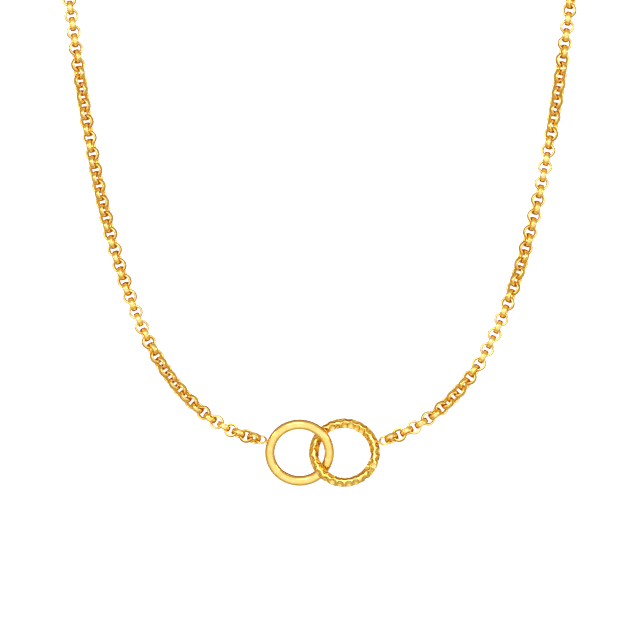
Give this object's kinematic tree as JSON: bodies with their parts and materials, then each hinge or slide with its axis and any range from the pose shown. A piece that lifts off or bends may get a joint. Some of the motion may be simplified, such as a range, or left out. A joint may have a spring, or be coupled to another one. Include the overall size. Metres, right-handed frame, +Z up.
{
  "type": "chain necklace",
  "caption": "Belcher chain necklace with a plain and a scooped pendant ring linked through each other, fastened by a lobster clasp and an end ring.",
  "frame": {"origin": "on the surface that the necklace lies on, midway between the two strands where they leave the pendant rings", "axes": "+Z up from the surface, +Y from the pendant rings towards the clasp, +X towards the textured ring"},
  "size_m": [0.1422, 0.2054, 0.0061],
  "materials": {
    "plain_ring": "polished gold plate",
    "textured_ring": "polished gold plate, scooped all over",
    "chain": "polished gold plate",
    "eyes": "polished gold plate",
    "clasp": "polished gold plate",
    "end_rings": "polished gold plate",
    "spring": "drawn wire"
  },
  "bodies": {
    "plain_ring": {"plain_ring": "plain_ring", "left_eye": "eyes"},
    "textured_ring": {"textured_ring": "textured_ring", "right_eye": "eyes"},
    "left_chain_01": {"left_chain_01": "chain"},
    "right_chain_01": {"right_chain_01": "chain"},
    "left_chain_02": {"left_chain_02": "chain"},
    "right_chain_02": {"right_chain_02": "chain"},
    "left_chain_03": {"left_chain_03": "chain"},
    "right_chain_03": {"right_chain_03": "chain"},
    "left_chain_04": {"left_chain_04": "chain"},
    "right_chain_04": {"right_chain_04": "chain"},
    "left_chain_05": {"left_chain_05": "chain"},
    "right_chain_05": {"right_chain_05": "chain"},
    "left_chain_06": {"left_chain_06": "chain"},
    "right_chain_06": {"right_chain_06": "chain"},
    "left_chain_07": {"left_chain_07": "chain"},
    "right_chain_07": {"right_chain_07": "chain"},
    "left_chain_08": {"left_chain_08": "chain"},
    "right_chain_08": {"right_chain_08": "chain"},
    "left_chain_09": {"left_chain_09": "chain"},
    "right_chain_09": {"right_chain_09": "chain"},
    "left_chain_10": {"left_chain_10": "chain"},
    "right_chain_10": {"right_chain_10": "chain"},
    "left_chain_11": {"left_chain_11": "chain"},
    "right_chain_11": {"right_chain_11": "chain"},
    "left_chain_12": {"left_chain_12": "chain"},
    "right_chain_12": {"right_chain_12": "chain"},
    "left_chain_13": {"left_chain_13": "chain"},
    "right_chain_13": {"right_chain_13": "chain"},
    "left_chain_14": {"left_chain_14": "chain"},
    "right_chain_14": {"right_chain_14": "chain"},
    "left_chain_15": {"left_chain_15": "chain"},
    "right_chain_15": {"right_chain_15": "chain"},
    "left_chain_16": {"left_chain_16": "chain"},
    "right_chain_16": {"right_chain_16": "chain"},
    "left_chain_17": {"left_chain_17": "chain"},
    "right_chain_17": {"right_chain_17": "chain"},
    "left_chain_18": {"left_chain_18": "chain"},
    "right_chain_18": {"right_chain_18": "chain"},
    "left_chain_19": {"left_chain_19": "chain"},
    "right_chain_19": {"right_chain_19": "chain"},
    "left_chain_20": {"left_chain_20": "chain"},
    "right_chain_20": {"right_chain_20": "chain"},
    "left_chain_21": {"left_chain_21": "chain"},
    "right_chain_21": {"right_chain_21": "chain"},
    "left_chain_22": {"left_chain_22": "chain"},
    "right_chain_22": {"right_chain_22": "chain"},
    "clasp_jump_ring": {"clasp_jump_ring": "end_rings"},
    "clasp": {"clasp_body": "clasp", "clasp_pin": "clasp", "clasp_spring": "spring"},
    "clasp_lever": {"clasp_lever": "clasp"},
    "end_ring": {"end_ring": "end_rings"}
  },
  "joints": [
    {"name": "ring_swing", "type": "hinge", "parent": "plain_ring", "child": "textured_ring", "pos_m": [-0.00447, -0.0027, 0.00301], "axis": [0, -0.2891, 0.9573], "range_deg": [-60, 20]},
    {"name": "left_joint_01", "type": "hinge", "parent": "plain_ring", "child": "left_chain_01", "pos_m": [-0.0129, 0.00024, 0.0039], "axis": [0.0996, 0.6617, 0.7431], "range_deg": [-45, 45]},
    {"name": "left_joint_02", "type": "hinge", "parent": "left_chain_01", "child": "left_chain_02", "pos_m": [-0.02112, 0.00307, 0.00297], "axis": [0.491, 0.8686, -0.0668], "range_deg": [-45, 45]},
    {"name": "left_joint_03", "type": "hinge", "parent": "left_chain_02", "child": "left_chain_03", "pos_m": [-0.02822, 0.00842, 0.0017], "axis": [0.4061, 0.3314, -0.8516], "range_deg": [-45, 45]},
    {"name": "left_joint_04", "type": "hinge", "parent": "left_chain_03", "child": "left_chain_04", "pos_m": [-0.03397, 0.01535, 0.00162], "axis": [-0.5709, -0.3858, -0.7247], "range_deg": [-45, 45]},
    {"name": "left_joint_05", "type": "hinge", "parent": "left_chain_04", "child": "left_chain_05", "pos_m": [-0.03837, 0.02321, 0.00162], "axis": [-0.8837, -0.4139, 0.2187], "range_deg": [-45, 45]},
    {"name": "left_joint_06", "type": "hinge", "parent": "left_chain_05", "child": "left_chain_06", "pos_m": [-0.04177, 0.03155, 0.00162], "axis": [-0.1269, -0.046, 0.9909], "range_deg": [-45, 45]},
    {"name": "left_joint_07", "type": "hinge", "parent": "left_chain_06", "child": "left_chain_07", "pos_m": [-0.04459, 0.04011, 0.00162], "axis": [0.9233, 0.2755, 0.2676], "range_deg": [-45, 45]},
    {"name": "left_joint_08", "type": "hinge", "parent": "left_chain_07", "child": "left_chain_08", "pos_m": [-0.04695, 0.04881, 0.00162], "axis": [0.4627, 0.1143, -0.8791], "range_deg": [-45, 45]},
    {"name": "left_joint_09", "type": "hinge", "parent": "left_chain_08", "child": "left_chain_09", "pos_m": [-0.04894, 0.0576, 0.00162], "axis": [-0.8367, -0.173, -0.5197], "range_deg": [-45, 45]},
    {"name": "left_joint_10", "type": "hinge", "parent": "left_chain_09", "child": "left_chain_10", "pos_m": [-0.05063, 0.06646, 0.00162], "axis": [-0.2742, -0.0482, 0.9605], "range_deg": [-45, 45]},
    {"name": "left_joint_11", "type": "hinge", "parent": "left_chain_10", "child": "left_chain_11", "pos_m": [-0.05209, 0.07536, 0.00162], "axis": [0.7406, 0.1134, 0.6624], "range_deg": [-45, 45]},
    {"name": "left_joint_12", "type": "hinge", "parent": "left_chain_11", "child": "left_chain_12", "pos_m": [-0.05338, 0.08428, 0.00162], "axis": [0.9265, 0.1294, -0.3533], "range_deg": [-45, 45]},
    {"name": "left_joint_13", "type": "hinge", "parent": "left_chain_12", "child": "left_chain_13", "pos_m": [-0.05461, 0.09321, 0.00162], "axis": [-0.0699, -0.0095, -0.9975], "range_deg": [-45, 45]},
    {"name": "left_joint_14", "type": "hinge", "parent": "left_chain_13", "child": "left_chain_14", "pos_m": [-0.05584, 0.10214, 0.00162], "axis": [-0.9474, -0.1332, -0.2912], "range_deg": [-45, 45]},
    {"name": "left_joint_15", "type": "hinge", "parent": "left_chain_14", "child": "left_chain_15", "pos_m": [-0.05711, 0.11107, 0.00162], "axis": [-0.487, -0.0702, 0.8706], "range_deg": [-45, 45]},
    {"name": "left_joint_16", "type": "hinge", "parent": "left_chain_15", "child": "left_chain_16", "pos_m": [-0.05841, 0.11999, 0.00162], "axis": [0.7354, 0.1073, 0.6691], "range_deg": [-45, 45]},
    {"name": "left_joint_17", "type": "hinge", "parent": "left_chain_16", "child": "left_chain_17", "pos_m": [-0.05971, 0.12891, 0.00162], "axis": [0.6621, 0.0967, -0.7431], "range_deg": [-45, 45]},
    {"name": "left_joint_18", "type": "hinge", "parent": "left_chain_17", "child": "left_chain_18", "pos_m": [-0.06101, 0.13783, 0.00162], "axis": [-0.7355, -0.1062, -0.6691], "range_deg": [-45, 45]},
    {"name": "left_joint_19", "type": "hinge", "parent": "left_chain_18", "child": "left_chain_19", "pos_m": [-0.06229, 0.14675, 0.00162], "axis": [-0.6247, -0.0888, 0.7758], "range_deg": [-45, 45]},
    {"name": "left_joint_20", "type": "hinge", "parent": "left_chain_19", "child": "left_chain_20", "pos_m": [-0.06355, 0.15568, 0.00162], "axis": [0.8863, 0.1238, 0.4462], "range_deg": [-45, 45]},
    {"name": "left_joint_21", "type": "hinge", "parent": "left_chain_20", "child": "left_chain_21", "pos_m": [-0.06478, 0.16461, 0.00162], "axis": [0.2377, 0.0325, -0.9708], "range_deg": [-45, 45]},
    {"name": "left_joint_22", "type": "hinge", "parent": "left_chain_21", "child": "left_chain_22", "pos_m": [-0.06599, 0.17354, 0.00162], "axis": [-0.9909, -0.1326, -0.022], "range_deg": [-45, 45]},
    {"name": "right_joint_01", "type": "hinge", "parent": "textured_ring", "child": "right_chain_01", "pos_m": [0.01417, -0.00005, 0.00224], "axis": [-0.1796, 0.5597, 0.809], "range_deg": [-45, 45]},
    {"name": "right_joint_02", "type": "hinge", "parent": "right_chain_01", "child": "right_chain_02", "pos_m": [0.02224, 0.00375, 0.00197], "axis": [0.5314, -0.8459, -0.0447], "range_deg": [-45, 45]},
    {"name": "right_joint_03", "type": "hinge", "parent": "right_chain_02", "child": "right_chain_03", "pos_m": [0.02932, 0.00953, 0.00163], "axis": [-0.4846, 0.4489, -0.7508], "range_deg": [-45, 45]},
    {"name": "right_joint_04", "type": "hinge", "parent": "right_chain_03", "child": "right_chain_04", "pos_m": [0.0349, 0.01678, 0.00162], "axis": [-0.1532, 0.0957, 0.9835], "range_deg": [-45, 45]},
    {"name": "right_joint_05", "type": "hinge", "parent": "right_chain_04", "child": "right_chain_05", "pos_m": [0.03913, 0.0249, 0.00162], "axis": [0.9151, -0.4026, 0.0213], "range_deg": [-45, 45]},
    {"name": "right_joint_06", "type": "hinge", "parent": "right_chain_05", "child": "right_chain_06", "pos_m": [0.04244, 0.03344, 0.00162], "axis": [0.4969, -0.1726, -0.8505], "range_deg": [-45, 45]},
    {"name": "right_joint_07", "type": "hinge", "parent": "right_chain_06", "child": "right_chain_07", "pos_m": [0.0452, 0.04218, 0.00162], "axis": [-0.4098, 0.1167, -0.9047], "range_deg": [-45, 45]},
    {"name": "right_joint_08", "type": "hinge", "parent": "right_chain_07", "child": "right_chain_08", "pos_m": [0.0475, 0.05105, 0.00162], "axis": [-0.942, 0.2219, 0.2518], "range_deg": [-45, 45]},
    {"name": "right_joint_09", "type": "hinge", "parent": "right_chain_08", "child": "right_chain_09", "pos_m": [0.04943, 0.06001, 0.00162], "axis": [-0.072, 0.0142, 0.9973], "range_deg": [-45, 45]},
    {"name": "right_joint_10", "type": "hinge", "parent": "right_chain_09", "child": "right_chain_10", "pos_m": [0.05107, 0.06903, 0.00162], "axis": [0.8192, -0.1379, 0.5567], "range_deg": [-45, 45]},
    {"name": "right_joint_11", "type": "hinge", "parent": "right_chain_10", "child": "right_chain_11", "pos_m": [0.0525, 0.07808, 0.00162], "axis": [0.696, -0.103, -0.7106], "range_deg": [-45, 45]},
    {"name": "right_joint_12", "type": "hinge", "parent": "right_chain_11", "child": "right_chain_12", "pos_m": [0.05378, 0.08715, 0.00162], "axis": [-0.1809, 0.0249, -0.9832], "range_deg": [-45, 45]},
    {"name": "right_joint_13", "type": "hinge", "parent": "right_chain_12", "child": "right_chain_13", "pos_m": [0.05502, 0.09624, 0.00162], "axis": [-0.9035, 0.124, -0.4102], "range_deg": [-45, 45]},
    {"name": "right_joint_14", "type": "hinge", "parent": "right_chain_13", "child": "right_chain_14", "pos_m": [0.05629, 0.10531, 0.00162], "axis": [-0.6002, 0.0852, 0.7953], "range_deg": [-45, 45]},
    {"name": "right_joint_15", "type": "hinge", "parent": "right_chain_14", "child": "right_chain_15", "pos_m": [0.05759, 0.11438, 0.00162], "axis": [0.7389, -0.1071, 0.6652], "range_deg": [-45, 45]},
    {"name": "right_joint_16", "type": "hinge", "parent": "right_chain_15", "child": "right_chain_16", "pos_m": [0.05892, 0.12345, 0.00162], "axis": [0.6997, -0.1023, -0.7071], "range_deg": [-45, 45]},
    {"name": "right_joint_17", "type": "hinge", "parent": "right_chain_16", "child": "right_chain_17", "pos_m": [0.06024, 0.13252, 0.00162], "axis": [-0.6997, 0.1018, -0.7071], "range_deg": [-45, 45]},
    {"name": "right_joint_18", "type": "hinge", "parent": "right_chain_17", "child": "right_chain_18", "pos_m": [0.06155, 0.14159, 0.00162], "axis": [-0.6999, 0.1004, 0.7071], "range_deg": [-45, 45]},
    {"name": "right_joint_19", "type": "hinge", "parent": "right_chain_18", "child": "right_chain_19", "pos_m": [0.06284, 0.15067, 0.00162], "axis": [0.7817, -0.1103, 0.6138], "range_deg": [-45, 45]},
    {"name": "right_joint_20", "type": "hinge", "parent": "right_chain_19", "child": "right_chain_20", "pos_m": [0.06411, 0.15974, 0.00162], "axis": [0.4048, -0.056, -0.9127], "range_deg": [-45, 45]},
    {"name": "right_joint_21", "type": "hinge", "parent": "right_chain_20", "child": "right_chain_21", "pos_m": [0.06536, 0.16883, 0.00162], "axis": [-0.9748, 0.1321, -0.18], "range_deg": [-45, 45]},
    {"name": "right_joint_22", "type": "hinge", "parent": "right_chain_21", "child": "right_chain_22", "pos_m": [0.06657, 0.17791, 0.00162], "axis": [0, 0, 1], "range_deg": [-45, 45]},
    {"name": "clasp_ring_joint", "type": "hinge", "parent": "left_chain_22", "child": "clasp_jump_ring", "pos_m": [-0.06717, 0.18248, 0.00162], "axis": [0, 0, -1], "range_deg": [-45, 45]},
    {"name": "clasp_joint", "type": "hinge", "parent": "clasp_jump_ring", "child": "clasp", "pos_m": [-0.0674, 0.1842, 0.00162], "axis": [-0.9916, -0.1295, 0], "range_deg": [-30, 30]},
    {"name": "clasp_lever_hinge", "type": "hinge", "parent": "clasp", "child": "clasp_lever", "pos_m": [-0.06885, 0.18801, 0.00162], "axis": [0, 0, -1], "range_deg": [0, 24], "stiffness_Nm_per_rad": 0.0023},
    {"name": "end_ring_joint", "type": "hinge", "parent": "right_chain_22", "child": "end_ring", "pos_m": [0.06776, 0.187, 0.00162], "axis": [-0.9918, 0.1277, 0], "range_deg": [-40, 40]}
  ]
}
